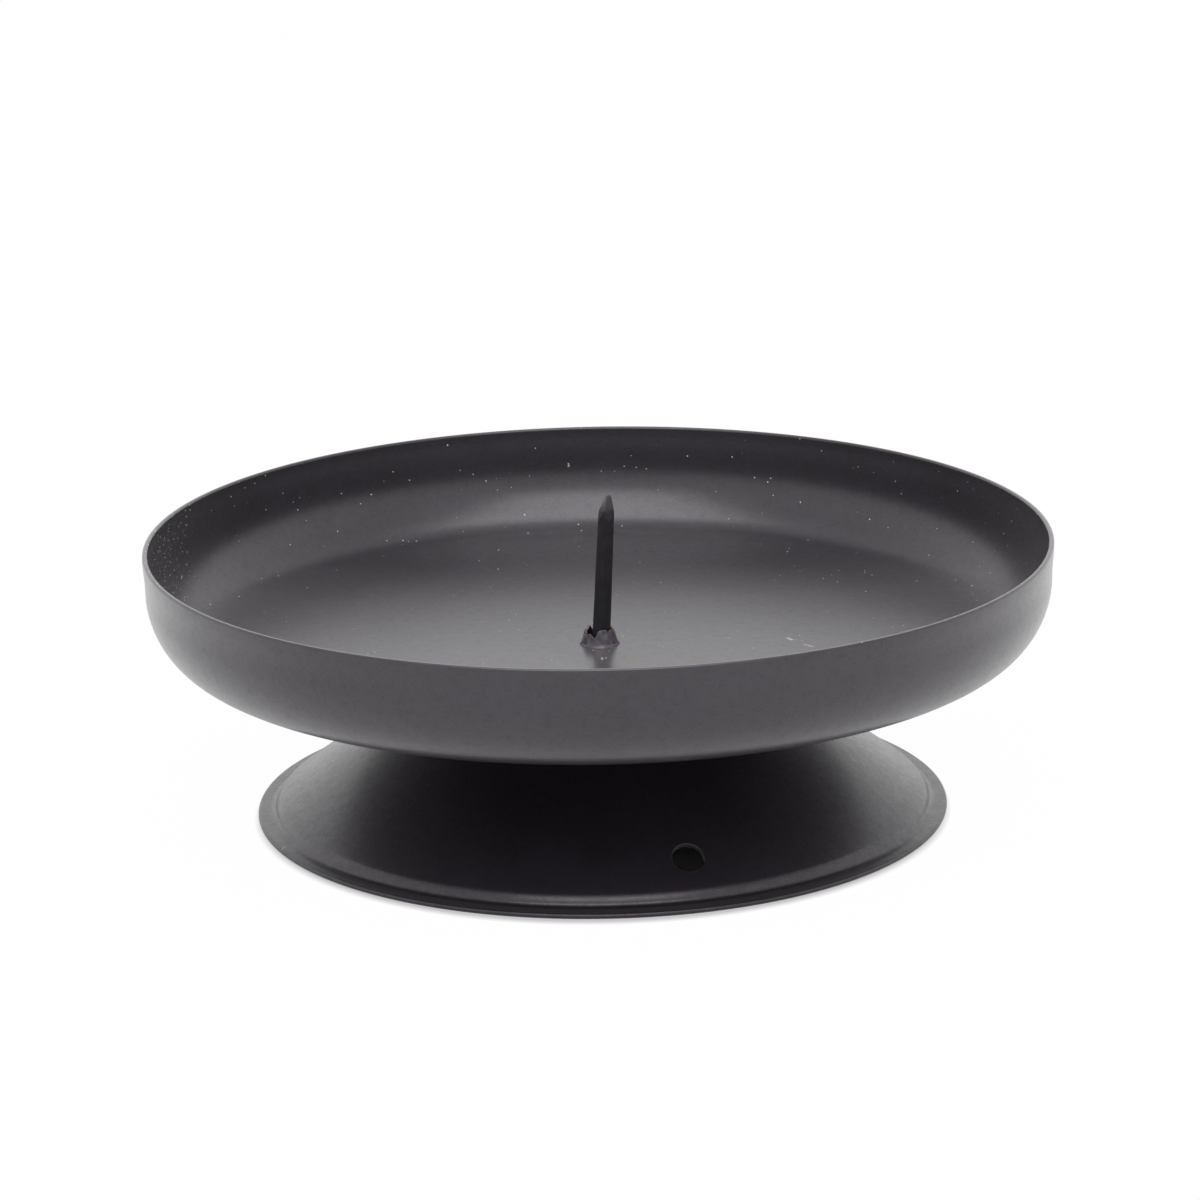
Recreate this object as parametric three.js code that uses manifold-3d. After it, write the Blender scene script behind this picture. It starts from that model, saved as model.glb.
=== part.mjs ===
// A candle plate of pressed sheet steel: a shallow dish on a hollow cone foot. A nail comes up through
// both and is the candle's spike, and a claw collar pushed down over it clamps the two together.
// Millimetres, +Z up. The origin is the middle of the foot's underside, on the table.

import * as THREE from 'three';
import { mergeVertices } from 'three/addons/utils/BufferGeometryUtils.js';
import Module from 'manifold-3d';

const wasm = await Module();
wasm.setup();

// Foot: a cone of sheet with a step and a flat flange round its base
const FOOT_RADIUS = 46;          // outer edge of the flange
const FOOT_HEIGHT = 21.75;       // table to the flat top that carries the dish
const FOOT_SHEET = 0.7;
const FLANGE_WIDTH = 2.7;        // from the flange's edge to the step
const STEP_HEIGHT = 1.9;         // table to the corner between step and cone
const NECK_RADIUS = 16.7;        // corner between cone and flat top
const NECK_FILLET = 3;
const SHOULDER_FILLET = 1.2;     // at the top of the step
const FLANGE_FILLET = 0.35;      // at the bottom of the step

// Small round hole through the cone
const VENT_DIAMETER = 4.2;
const VENT_SETBACK = 4.4;        // from the step to the hole's middle, measured level
const VENT_BEARING = -74;        // degrees from +X, seen from above

// Dish
const DISH_RADIUS = 60;          // outer edge of the lip
const DISH_DEPTH = 15.25;        // underside of the floor's middle to the top of the lip
const DISH_SHEET = 0.7;
const LIP_HEIGHT = 2.3;
const LIP_FLARE = 0.28;          // how far the lip turns out from the wall
const CORNER_RUN = 8.1;          // the rounded corner between floor and wall, measured level
const CORNER_RISE = 9.5;         // the same corner, measured upright
const FLOOR_RISE = 0.78;         // the floor climbs this much from its flat middle to the corner
const SEAT_MARGIN = 1.5;         // how far the flat middle reaches past the foot's neck
const CLAWS_MARGIN = 1.2;        // from the claws' foot to the ring that the candle sits on

// Nail
const NAIL_DIAMETER = 2.3;       // under its head
const POINT_DIAMETER = 2;        // where the cut point begins
const SPIKE_HEIGHT = 20.35;      // from the dish's floor up to the tip
const HEAD_DIAMETER = 5.2;
const HEAD_THICKNESS = 0.9;
const HEAD_CHAMFER = 0.2;
const HEAD_GAP = 0.3;            // between the head and the sheet above it
const NAIL_LEAN = 3.2;           // degrees, towards +X
const NAIL_OFFSET = 0.085;       // from the middle of its hole, at the head
const NAIL_CLEARANCE = 0.2;      // round the nail, in the holes of the two sheets
const POINT_LENGTH = 3.3;
const TIP_WIDTH = 0.64;          // across two flats of the blunt tip
const POINT_SKEW = 4;            // degrees, how far the cut point is off the nail's own axis
const POINT_TURN = 20;           // degrees, the four cut facets about the nail's axis

// Claw collar round the nail, on the floor
const COLLAR_HEIGHT = 2.34;
const COLLAR_SPREAD = 0.98;      // how far its foot stands out past its top edge
const COLLAR_SHEET = 0.3;
const COLLAR_CLEARANCE = 0.1;    // between the claws and the nail
const COLLAR_CURVE = 1.5;        // above 1, the claws flare out towards the floor
// The torn top edge: degrees from +X, and the share of the collar's height that is left there
const TORN_EDGE = [
  [0, 0.7], [30, 0.95], [60, 0.55], [90, 0.9], [114, 0.6], [138, 0.96], [162, 0.7], [186, 0.94],
  [210, 0.62], [228, 0.75], [252, 0.53], [264, 0.93], [282, 1], [300, 0.97], [306, 0.86],
  [324, 0.96], [360, 0.7],
];

// Roundness
const DISH_SEGMENTS = 72;
const FOOT_SEGMENTS = 72;
const NAIL_SEGMENTS = 24;
const COLLAR_SEGMENTS = 60;
const CORNER_STEPS = 9;
const LIP_STEPS = 4;
const EDGE_STEPS = 4;
const FILLET_STEPS = 4;
const COLLAR_STEPS = 5;

// Places that follow from the sizes above
const STEP_RADIUS = FOOT_RADIUS - FLANGE_WIDTH;
const SEAT_RADIUS = NECK_RADIUS + SEAT_MARGIN;
const FLOOR_HEIGHT = FOOT_HEIGHT + DISH_SHEET;
const HEAD_TOP = FOOT_HEIGHT - FOOT_SHEET - HEAD_GAP;
const LEAN = THREE.MathUtils.degToRad(NAIL_LEAN);
const NAIL_LENGTH = (FLOOR_HEIGHT + SPIKE_HEIGHT - HEAD_TOP) / Math.cos(LEAN);
const NAIL_HOLE_RADIUS = NAIL_DIAMETER / 2 + nailOffsetAt(FLOOR_HEIGHT) + NAIL_CLEARANCE;
const SEAT_INSIDE = collarRadius(0) + CLAWS_MARGIN;

// How far the leaning nail's axis is from the part's axis at a height
function nailOffsetAt(height) {
  return NAIL_OFFSET + (height - HEAD_TOP) * Math.tan(LEAN);
}

// Straight line through the corners, each [radius, height, fillet], with its corners rounded
function roundedLine(corners) {
  const points = corners.map(([r, z]) => new THREE.Vector2(r, z));
  const line = [points[0]];
  for (let i = 1; i < points.length - 1; i += 1) {
    const before = points[i].clone().sub(points[i - 1]);
    const after = points[i + 1].clone().sub(points[i]);
    const turn = Math.atan2(before.cross(after), before.dot(after));
    const room = 0.45 * Math.min(before.length(), after.length());
    const reach = Math.min(corners[i][2] * Math.tan(Math.abs(turn) / 2), room);
    const radius = reach / Math.tan(Math.abs(turn) / 2);
    const side = Math.sign(turn);
    const start = points[i].clone().addScaledVector(before.normalize(), -reach);
    const centre = start.clone().add(new THREE.Vector2(-before.y, before.x).multiplyScalar(side * radius));
    const from = Math.atan2(start.y - centre.y, start.x - centre.x);
    const arc = new THREE.EllipseCurve(centre.x, centre.y, radius, radius, from, from + turn, side < 0);
    line.push(...arc.getPoints(FILLET_STEPS));
  }
  line.push(points[points.length - 1]);
  return line;
}

// The line that runs beside another at a distance to its left, or to its right if that is negative
function lineBeside(line, distance) {
  return line.map((point, i) => {
    const before = point.clone().sub(line[Math.max(i - 1, 0)]).normalize();
    const after = line[Math.min(i + 1, line.length - 1)].clone().sub(point).normalize();
    const along = before.add(after).normalize();
    const last = i > 0 ? point.clone().sub(line[i - 1]).normalize() : along;
    const mitre = distance / along.dot(last);
    return new THREE.Vector2(point.x - along.y * mitre, point.y + along.x * mitre);
  });
}

// Closed section of a sheet with one face along the line, and a half-round edge at the line's end
function sheetSection(line, thickness) {
  const other = lineBeside(line, thickness);
  const end = line[line.length - 1];
  const far = other[other.length - 1];
  const centre = end.clone().add(far).multiplyScalar(0.5);
  const from = Math.atan2(end.y - centre.y, end.x - centre.x);
  const radius = Math.abs(thickness) / 2;
  const half = Math.sign(thickness) * Math.PI;
  const edge = new THREE.EllipseCurve(centre.x, centre.y, radius, radius, from, from + half, half < 0);
  return [...line, ...edge.getPoints(EDGE_STEPS).slice(1, -1), ...other.reverse(), line[0].clone()];
}

// Solid of revolution about Z from a section of [radius, height] points, faces outwards
function turned(section, segments) {
  const facesOut = THREE.ShapeUtils.area(section) > 0 ? section : [...section].reverse();
  return new THREE.LatheGeometry(facesOut, segments).rotateX(Math.PI / 2);
}

// Joins and cuts work on closed meshes that share their vertices
function solidOf(geometry) {
  const bare = geometry.clone();
  bare.deleteAttribute('normal');
  bare.deleteAttribute('uv');
  const merged = mergeVertices(bare);
  const corners = merged.index.array;
  const triVerts = [];
  for (let i = 0; i < corners.length; i += 3) {
    const [a, b, c] = corners.slice(i, i + 3);
    if (a !== b && b !== c && c !== a) triVerts.push(a, b, c);
  }
  return new wasm.Manifold(new wasm.Mesh({
    numProp: 3,
    vertProperties: new Float32Array(merged.attributes.position.array),
    triVerts: new Uint32Array(triVerts),
  }));
}

function geometryOf(solid) {
  const mesh = solid.getMesh();
  const geometry = new THREE.BufferGeometry();
  geometry.setAttribute('position', new THREE.BufferAttribute(new Float32Array(mesh.vertProperties), 3));
  geometry.setIndex(new THREE.BufferAttribute(new Uint32Array(mesh.triVerts), 1));
  const faceted = geometry.toNonIndexed();
  faceted.computeVertexNormals();
  return faceted;
}

// Underside of the dish from the nail hole out to the lip, with height 0 at the foot's top
function dishUnderside() {
  const wallRadius = DISH_RADIUS - LIP_FLARE;
  const cornerRadius = wallRadius - CORNER_RUN;
  const cornerTop = FLOOR_RISE + CORNER_RISE;
  const corner = new THREE.EllipseCurve(
    cornerRadius, cornerTop, CORNER_RUN, CORNER_RISE, -Math.PI / 2, 0);
  const lipBottom = DISH_DEPTH - LIP_HEIGHT;
  const lipRise = LIP_HEIGHT - DISH_SHEET;
  const lip = [];
  for (let i = 0; i <= LIP_STEPS; i += 1) {
    const share = i / LIP_STEPS;
    const flare = LIP_FLARE * (1 - Math.cos(Math.PI * share)) / 2;
    lip.push(new THREE.Vector2(wallRadius + flare, lipBottom + share * lipRise));
  }
  lip.push(new THREE.Vector2(DISH_RADIUS, DISH_DEPTH - DISH_SHEET / 2));
  return [
    new THREE.Vector2(NAIL_HOLE_RADIUS, 0),
    new THREE.Vector2(SEAT_INSIDE, 0),
    new THREE.Vector2(SEAT_RADIUS, 0),
    ...corner.getPoints(CORNER_STEPS),
    ...lip,
  ];
}

function candleDish() {
  return turned(sheetSection(dishUnderside(), DISH_SHEET), DISH_SEGMENTS);
}

// Straight bar along Z that drills the vent square to the cone
function ventCutter() {
  const coneSlope = Math.atan2(FOOT_HEIGHT - STEP_HEIGHT, STEP_RADIUS - NECK_RADIUS);
  const height = STEP_HEIGHT + VENT_SETBACK * Math.tan(coneSlope);
  const cutter = new THREE.CylinderGeometry(
    VENT_DIAMETER / 2, VENT_DIAMETER / 2, 8 * FOOT_SHEET, NAIL_SEGMENTS);
  return cutter
    .rotateX(Math.PI / 2)
    .rotateY(coneSlope)
    .translate(STEP_RADIUS - VENT_SETBACK, 0, height)
    .rotateZ(THREE.MathUtils.degToRad(VENT_BEARING));
}

function coneFoot() {
  const outside = roundedLine([
    [NAIL_HOLE_RADIUS, FOOT_HEIGHT],
    [NECK_RADIUS, FOOT_HEIGHT, NECK_FILLET],
    [STEP_RADIUS, STEP_HEIGHT, SHOULDER_FILLET],
    [STEP_RADIUS, FOOT_SHEET, FLANGE_FILLET],
    [FOOT_RADIUS - FOOT_SHEET / 2, FOOT_SHEET],
  ]);
  const cone = turned(sheetSection(outside, -FOOT_SHEET), FOOT_SEGMENTS);
  return geometryOf(solidOf(cone).subtract(solidOf(ventCutter())));
}

// The nail stands upright on its head's top face, which is at height 0
function nailBlank() {
  const head = HEAD_DIAMETER / 2;
  return turned([
    new THREE.Vector2(0, -HEAD_THICKNESS),
    new THREE.Vector2(head - HEAD_CHAMFER, -HEAD_THICKNESS),
    new THREE.Vector2(head, HEAD_CHAMFER - HEAD_THICKNESS),
    new THREE.Vector2(head, 0),
    new THREE.Vector2(NAIL_DIAMETER / 2, 0),
    new THREE.Vector2(POINT_DIAMETER / 2, NAIL_LENGTH - POINT_LENGTH),
    new THREE.Vector2(POINT_DIAMETER / 2, NAIL_LENGTH),
    new THREE.Vector2(0, NAIL_LENGTH),
  ], NAIL_SEGMENTS);
}

// Four-sided bar whose end tapers to the tip: what is left of the nail lies inside it
function pointCutter() {
  const corner = Math.SQRT2 / 2;
  const slope = (POINT_DIAMETER - TIP_WIDTH) / POINT_LENGTH;
  const below = NAIL_LENGTH + HEAD_THICKNESS;
  const base = POINT_DIAMETER + slope * below;
  const taper = new THREE.CylinderGeometry(TIP_WIDTH * corner, base * corner, below + POINT_LENGTH, 4);
  return taper
    .rotateX(Math.PI / 2)
    .rotateZ(THREE.MathUtils.degToRad(POINT_TURN + 45))
    .translate(0, 0, (POINT_LENGTH - below) / 2)
    .rotateY(THREE.MathUtils.degToRad(POINT_SKEW))
    .translate(0, 0, NAIL_LENGTH - POINT_LENGTH);
}

function spikeNail() {
  return geometryOf(solidOf(nailBlank()).intersect(solidOf(pointCutter())));
}

// Share of the collar's height that is left at an angle in degrees
function tornShare(angle) {
  const next = TORN_EDGE.findIndex(([at]) => at >= angle);
  if (next <= 0) return TORN_EDGE[0][1];
  const [fromAngle, fromShare] = TORN_EDGE[next - 1];
  const [toAngle, toShare] = TORN_EDGE[next];
  return THREE.MathUtils.mapLinear(angle, fromAngle, toAngle, fromShare, toShare);
}

// Outer radius of the collar at a share of its height
function collarRadius(share) {
  const top = nailOffsetAt(FLOOR_HEIGHT + COLLAR_HEIGHT) + NAIL_DIAMETER / 2 + COLLAR_CLEARANCE + COLLAR_SHEET;
  return top + COLLAR_SPREAD * (1 - share) ** COLLAR_CURVE;
}

// A flared ring whose every upright line is shortened along its own curve to the torn edge
function clawCollar() {
  const outside = [];
  for (let i = 0; i <= COLLAR_STEPS; i += 1) {
    const share = i / COLLAR_STEPS;
    outside.push(new THREE.Vector2(collarRadius(share), share * COLLAR_HEIGHT));
  }
  const inside = outside.map((point) => new THREE.Vector2(point.x - COLLAR_SHEET, point.y)).reverse();
  const ring = turned([...outside, ...inside, outside[0].clone()], COLLAR_SEGMENTS);
  const place = ring.attributes.position;
  for (let i = 0; i < place.count; i += 1) {
    const radius = Math.hypot(place.getX(i), place.getY(i));
    const angle = Math.atan2(place.getY(i), place.getX(i));
    const degrees = Math.round(THREE.MathUtils.radToDeg(angle) + 360) % 360;
    const share = place.getZ(i) / COLLAR_HEIGHT;
    const left = share * tornShare(degrees);
    const moved = radius + collarRadius(left) - collarRadius(share);
    place.setXYZ(i, moved * Math.cos(angle), moved * Math.sin(angle), left * COLLAR_HEIGHT);
  }
  ring.computeVertexNormals();
  return ring;
}

// Satin black paint on the pressings and the collar, duller and darker on the nail
const satinBlack = { color: 0x2b2a2c, roughness: 0.42, metalness: 0.1 };
const dullBlack = { color: 0x1b1a1c, roughness: 0.6, metalness: 0.1 };

function piece(name, geometry, finish) {
  const mesh = new THREE.Mesh(geometry, new THREE.MeshStandardMaterial(finish));
  mesh.name = name;
  return mesh;
}

const candlePlate = new THREE.Group();

const foot = piece('cone_foot', coneFoot(), satinBlack);
candlePlate.add(foot);

const dish = piece('candle_dish', candleDish(), satinBlack);
dish.position.z = FOOT_HEIGHT;
candlePlate.add(dish);

const collar = piece('claw_collar', clawCollar(), satinBlack);
collar.position.z = FLOOR_HEIGHT;
candlePlate.add(collar);

const nail = piece('spike_nail', spikeNail(), dullBlack);
nail.position.set(NAIL_OFFSET, 0, HEAD_TOP);
nail.rotation.y = LEAN;
candlePlate.add(nail);

export default candlePlate;
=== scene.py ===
"""A black candle plate of pressed sheet steel, laid out as a Blender add-on.

A round dish stands on a hollow cone foot. A nail comes up through both as the candle's spike, and
a ring of torn claws grips it where it leaves the dish's floor. Lengths are in metres, +Z is up, and
the foot stands on the table at 0.
"""

import math

import bmesh
import bpy
from bpy.props import FloatProperty, FloatVectorProperty, IntProperty, PointerProperty
from bpy.types import Operator, Panel, PropertyGroup
from mathutils import Matrix, Vector, noise


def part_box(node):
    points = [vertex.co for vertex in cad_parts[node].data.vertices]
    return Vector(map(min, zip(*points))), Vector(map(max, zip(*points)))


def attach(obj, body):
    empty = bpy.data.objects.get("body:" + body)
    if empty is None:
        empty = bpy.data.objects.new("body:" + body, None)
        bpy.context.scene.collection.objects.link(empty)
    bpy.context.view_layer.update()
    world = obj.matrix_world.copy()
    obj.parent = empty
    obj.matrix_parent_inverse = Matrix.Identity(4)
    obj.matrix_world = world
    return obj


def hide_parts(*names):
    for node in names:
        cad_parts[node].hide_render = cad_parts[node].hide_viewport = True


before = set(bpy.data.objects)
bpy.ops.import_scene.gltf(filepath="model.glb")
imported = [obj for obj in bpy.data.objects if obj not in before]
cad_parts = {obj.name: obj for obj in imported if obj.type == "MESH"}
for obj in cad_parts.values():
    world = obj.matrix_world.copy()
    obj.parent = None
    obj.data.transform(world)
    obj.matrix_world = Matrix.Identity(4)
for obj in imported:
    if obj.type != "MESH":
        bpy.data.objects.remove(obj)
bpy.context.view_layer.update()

bl_info = {
    "name": "Candle plate",
    "version": (1, 0, 0),
    "blender": (4, 5, 0),
    "location": "3D View > Sidebar > Candle Plate",
    "description": "Makes a black candle plate: pressed dish, cone foot, nail spike and torn claws",
    "category": "Add Mesh",
}

MM = 0.001

DISH_LOW, DISH_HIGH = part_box("candle_dish")
FOOT_LOW, FOOT_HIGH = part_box("cone_foot")
CLAWS_LOW, CLAWS_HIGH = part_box("claw_collar")
NAIL_LOW, NAIL_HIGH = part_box("spike_nail")

# The claws' torn top edge: degrees from +X, and the share of the full height that is left there
TORN_EDGE = [
    (0, 0.7), (30, 0.95), (60, 0.55), (90, 0.9), (114, 0.6), (138, 0.96), (162, 0.7), (186, 0.94),
    (210, 0.62), (228, 0.75), (252, 0.53), (264, 0.93), (282, 1), (300, 0.97), (306, 0.86),
    (324, 0.96), (360, 0.7),
]

# Scuffs and single specks on the dish, each a start, an end and a width, in millimetres
SCUFFS = [
    ((25.0, 0.0, 22.53), (25.45, -0.82, 22.54), 0.5),
    ((25.5, -0.85, 22.54), (26.1, -0.85, 22.55), 0.3),
    ((26.5, 1.15, 22.55), (26.62, 1.05, 22.55), 0.36),
    ((26.95, -3.15, 22.56), (28.15, -4.3, 22.6), 0.4),
    ((0.3, -7.7, 22.36), (0.29, -6.7, 22.36), 0.32),
    ((0.8, -7.0, 22.36), (0.79, -6.6, 22.36), 0.3),
    ((-4.02, 58.83, 31.4), (-4.02, 58.83, 31.8), 0.25),
    ((0.14, 58.97, 31.72), (0.86, 58.97, 31.93), 0.1),
]

# The same on the foot's flange, and a bare patch on the front claw
FOOT_SCUFFS = [((-42.0, -18.7, 0.7), (-41.6, -17.2, 0.7), 0.12)]
BARE_PATCHES = [((1.45, -1.0, 23.5), (1.35, -0.95, 24.4), 0.42)]

# Dust lies on the faces that look towards this place, most of it at the left end of the wall
OVER_DISH = Vector((0, 0, 60)) * MM
DUSTY_END = (-58 * MM, -54.5 * MM)
DUST_SHARES = (0.9, 0.03)

# The pale film on the level faces, partly dust and partly painted sheen, thins out between these
# two places on the far floor
DUST_AND_SHEEN_FADES = (20 * MM, 38 * MM)

# The paint's clear coat and sheen, and how far they vary
COAT_ROUGHNESS = 0.28
COAT_SPREAD = 0.35
SHEEN_SPREAD = 0.012
MIRROR_TINT = (0.8, 0.75, 0.83, 1)

# Edges that turn more than this are sharp. Ridges of the nail's point turn more than the second.
SHARP_EDGE = math.radians(50)
POINT_RIDGE = math.radians(12)

# Points closer than this are one
WELD = 1e-7


# Sizes and colours that a user would change

def length(name, description, default, **limits):
    """A length in metres."""
    return FloatProperty(
        name=name, description=description, default=default, unit="LENGTH", precision=5, **limits)


def angle(name, description, degrees):
    """An angle, stated in degrees."""
    return FloatProperty(
        name=name, description=description, default=math.radians(degrees), subtype="ANGLE")


def share(name, description, default):
    """A number from 0 to 1."""
    return FloatProperty(
        name=name, description=description, default=default, min=0, max=1, subtype="FACTOR")


def colour(name, description, default):
    """A linear colour."""
    return FloatVectorProperty(
        name=name, description=description, default=default, size=3, min=0, max=1, subtype="COLOR")


class DishSizes(PropertyGroup):
    """Sizes of the pressed dish."""
    radius: length("Radius", "Outer edge of the lip", DISH_HIGH.x)
    base: length("Base", "Height of the floor's underside over the table", DISH_LOW.z)
    depth: length("Depth", "Underside of the floor to the top of the lip", DISH_HIGH.z - DISH_LOW.z)
    sheet: length("Sheet", "Thickness of the sheet", CLAWS_LOW.z - DISH_LOW.z)
    hole: length("Hole", "Radius of the nail hole", 1.53 * MM)
    seat: length("Seat", "Radius of the flat middle of the floor", 18.2 * MM)
    floor_rise: length("Floor rise", "How far the floor climbs from its flat middle", 0.78 * MM)
    floor_blend: length("Floor blend", "Reach of the soft turn where the floor climbs", 15 * MM)
    corner_run: length("Corner run", "Rounded corner, measured level", 8.1 * MM)
    corner_rise: length("Corner rise", "Rounded corner, measured upright", 9.4 * MM)
    lip_height: length("Lip height", "Height over which the wall turns out to the lip", 4.6 * MM)
    lip_flare: length("Lip flare", "How far the lip turns out from the wall", 0.23 * MM)
    lip_bend: length("Lip bend", "Reach of the lip's two bends", 1.05 * MM)
    segments: IntProperty(name="Segments", description="Steps round the dish", default=256, min=32)


class FootSizes(PropertyGroup):
    """Sizes of the pressed cone foot."""
    radius: length("Radius", "Outer edge of the flange", FOOT_HIGH.x)
    height: length("Height", "Table to the flat top under the dish", FOOT_HIGH.z)
    sheet: length("Sheet", "Thickness of the sheet", CLAWS_LOW.z - DISH_LOW.z)
    hole: length("Hole", "Radius of the nail hole", 1.53 * MM)
    flange: length("Flange", "Flange edge to the step", 2.2 * MM)
    step: length("Step", "Height of the step over the table", 1.95 * MM)
    step_run: length("Step run", "How far the step leans in as it rises", 0.5 * MM)
    neck: length("Neck", "Radius of the corner between cone and flat top", 16.7 * MM)
    neck_fillet: length("Neck fillet", "Rounding at the neck", 3 * MM)
    shoulder_fillet: length("Shoulder fillet", "Rounding at the top of the step", 2.2 * MM)
    flange_fillet: length("Flange fillet", "Rounding at the bottom of the step", 1 * MM)
    vent: length("Vent", "Diameter of the small hole in the cone", 4.2 * MM)
    vent_setback: length("Vent setback", "Step to the middle of the small hole", 4.25 * MM)
    vent_bearing: angle("Vent bearing", "Direction of the small hole from +X, seen from above", -74)
    segments: IntProperty(name="Segments", description="Steps round the foot", default=256, min=64)


class ClawSizes(PropertyGroup):
    """Sizes of the torn claws round the spike."""
    floor: length("Floor", "Height of the dish's floor over the table", CLAWS_LOW.z)
    height: length("Height", "Tallest claw over the floor", CLAWS_HIGH.z - CLAWS_LOW.z)
    top: length("Top", "Outer radius at the top of the tallest claw", 1.85 * MM)
    spread: length("Spread", "How far the claws' foot stands out past their top", 0.68 * MM)
    flare: length("Flare", "How far the foot runs out on to the floor", 0.16 * MM)
    sheet: length("Sheet", "Thickness of the claws", 0.27 * MM)
    ragged: length("Ragged", "How far the claws stray from an even ring", 0.07 * MM)
    segments: IntProperty(name="Segments", description="Steps round the claws", default=180, min=36)


class SpikeSizes(PropertyGroup):
    """Sizes of the nail."""
    tip: length("Tip", "Height of the tip over the table", NAIL_HIGH.z)
    head_top: length("Head top", "Height of the head's upper face over the table", 20.75 * MM)
    offset: length("Offset", "From the plate's axis to the nail's axis, at the head", 0.07 * MM)
    lean: angle("Lean", "How far the nail leans towards +X", 3.2)
    diameter: length("Diameter", "Thickness under the head", 2.42 * MM)
    point_diameter: length("Point diameter", "Thickness where the cut point begins", 2.12 * MM)
    head: length("Head", "Diameter of the head", 5.2 * MM)
    head_thickness: length("Head thickness", "Thickness of the head", 0.9 * MM)
    head_chamfer: length("Head chamfer", "Chamfer round the head's lower edge", 0.2 * MM)
    point: length("Point", "Length of the cut point", 3.3 * MM)
    tip_width: length("Tip width", "Across two flats of the blunt tip", 0.46 * MM)
    point_skew: angle("Point skew", "How far the cut point is off the nail's axis", 4)
    point_turn: angle("Point turn", "Turn of the cut facets about the nail's axis", 20)
    waver: length("Waver", "How far the drawn wire strays from straight and round", 0.012 * MM)
    segments: IntProperty(name="Segments", description="Steps round the nail", default=64, min=16)


class Finishes(PropertyGroup):
    """Colours and finishes."""
    paint: colour("Paint", "Satin black paint on the dish", (0.0178, 0.0134, 0.02))
    # The foot's paint is a little darker than the dish's: painted shade of the dish over the foot
    foot_paint_painted_shade: colour("Foot paint", "Satin black paint on the foot", (0.0168, 0.0128, 0.0186))
    steel: colour("Steel", "Dull black skin of the nail", (0.0085, 0.007, 0.0098))
    cut_steel: colour("Cut steel", "Cut facets of the nail's point", (0.036, 0.032, 0.038))
    torn_steel: colour("Torn steel", "Bare torn edge of the claws", (0.1, 0.093, 0.078))
    # The dust colour also makes the pale film on the level faces, partly dust and partly painted
    # sheen that lightens the floor like a glancing reflection
    dust: colour("Dust", "Dust and scuffs", (0.88, 0.87, 0.86))
    dust_and_sheen_film: share("Dust film", "Thin film of dust on the level faces", 0.042)
    gloss: share("Roughness", "Roughness of the satin paint", 0.36)
    coat: share("Dish coat", "Strength of the clear coat on the dish", 0.95)
    # The foot's weaker coat is painted shade too: the dish over it dims its reflections
    foot_coat_painted_shade: share("Foot coat", "Strength of the clear coat on the foot", 0.65)
    dull: share("Dull roughness", "Roughness of the nail", 0.62)


class StageSettings(PropertyGroup):
    """The camera, the table and the light."""
    distance: length("Distance", "Camera to the foot's middle along the view", 696.4 * MM)
    rise: length("Rise", "How far the view's middle passes over the foot's middle", 27.316 * MM)
    side: length("Side", "How far the view's middle passes left of the foot's middle", 0.36 * MM)
    pitch: angle("Pitch", "How far the camera looks down", 16.11)
    roll: angle("Roll", "How far the camera is tilted about its view", -1.03)
    lens: FloatProperty(name="Lens", description="Focal length", default=156, unit="CAMERA")
    table: length("Table", "Half the width of the table", 4)
    table_white: share("Table white", "How white the table is", 0.9)
    sky: FloatProperty(name="Sky", description="Light from all round", default=0.45, min=0)
    softbox: FloatProperty(
        name="Softbox", description="Power of the soft light overhead", default=9.7, unit="POWER")
    softbox_width: length("Softbox width", "Width of the soft light", 0.98)
    softbox_depth: length("Softbox depth", "Depth of the soft light", 1.4)
    softbox_distance: length("Softbox distance", "From the plate to the soft light", 1.2)
    softbox_height: angle("Softbox height", "Elevation of the soft light over the table", 68)


GROUPS = {
    "candle_dish": DishSizes,
    "candle_foot": FootSizes,
    "candle_claws": ClawSizes,
    "candle_spike": SpikeSizes,
    "candle_finishes": Finishes,
    "candle_stage": StageSettings,
}


# Shader nodes

def add_node(tree, kind, values=None, **settings):
    """A node with its settings. values maps an input to a value or to the socket that feeds it."""
    made = tree.nodes.new(kind)
    for name, setting in settings.items():
        setattr(made, name, setting)
    for key, value in (values or {}).items():
        if isinstance(value, bpy.types.NodeSocket):
            tree.links.new(value, made.inputs[key])
        else:
            made.inputs[key].default_value = value
    return made


def maths(tree, operation, first, second=0.0, clamped=False):
    """Result of a Math node."""
    made = add_node(
        tree, "ShaderNodeMath", {0: first, 1: second}, operation=operation, use_clamp=clamped)
    return made.outputs[0]


def vectors(tree, operation, first, second=(0, 0, 0), output="Vector"):
    """Result of a Vector Math node."""
    made = add_node(tree, "ShaderNodeVectorMath", {0: first, 1: second}, operation=operation)
    return made.outputs[output]


def times(tree, vector, factor):
    """A vector or a colour times a number."""
    made = add_node(tree, "ShaderNodeVectorMath", {0: vector, "Scale": factor}, operation="SCALE")
    return made.outputs["Vector"]


def scaled(tree, vector, size):
    """The vector divided by a size, so that a pattern has that spacing."""
    return times(tree, vector, maths(tree, "DIVIDE", 1.0, size))


def ranged(tree, value, low, high, to_low, to_high):
    """The value moved from one range to another, and kept inside it."""
    made = add_node(tree, "ShaderNodeMapRange", {
        "Value": value, "From Min": low, "From Max": high, "To Min": to_low, "To Max": to_high})
    return made.outputs["Result"]


def mixed(tree, factor, first, second):
    """A colour between a colour that a socket gives and a plain one."""
    made = add_node(
        tree, "ShaderNodeMix", {"Factor": factor, "A": first, "B": (*second, 1)},
        data_type="RGBA")
    return made.outputs["Result"]


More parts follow.
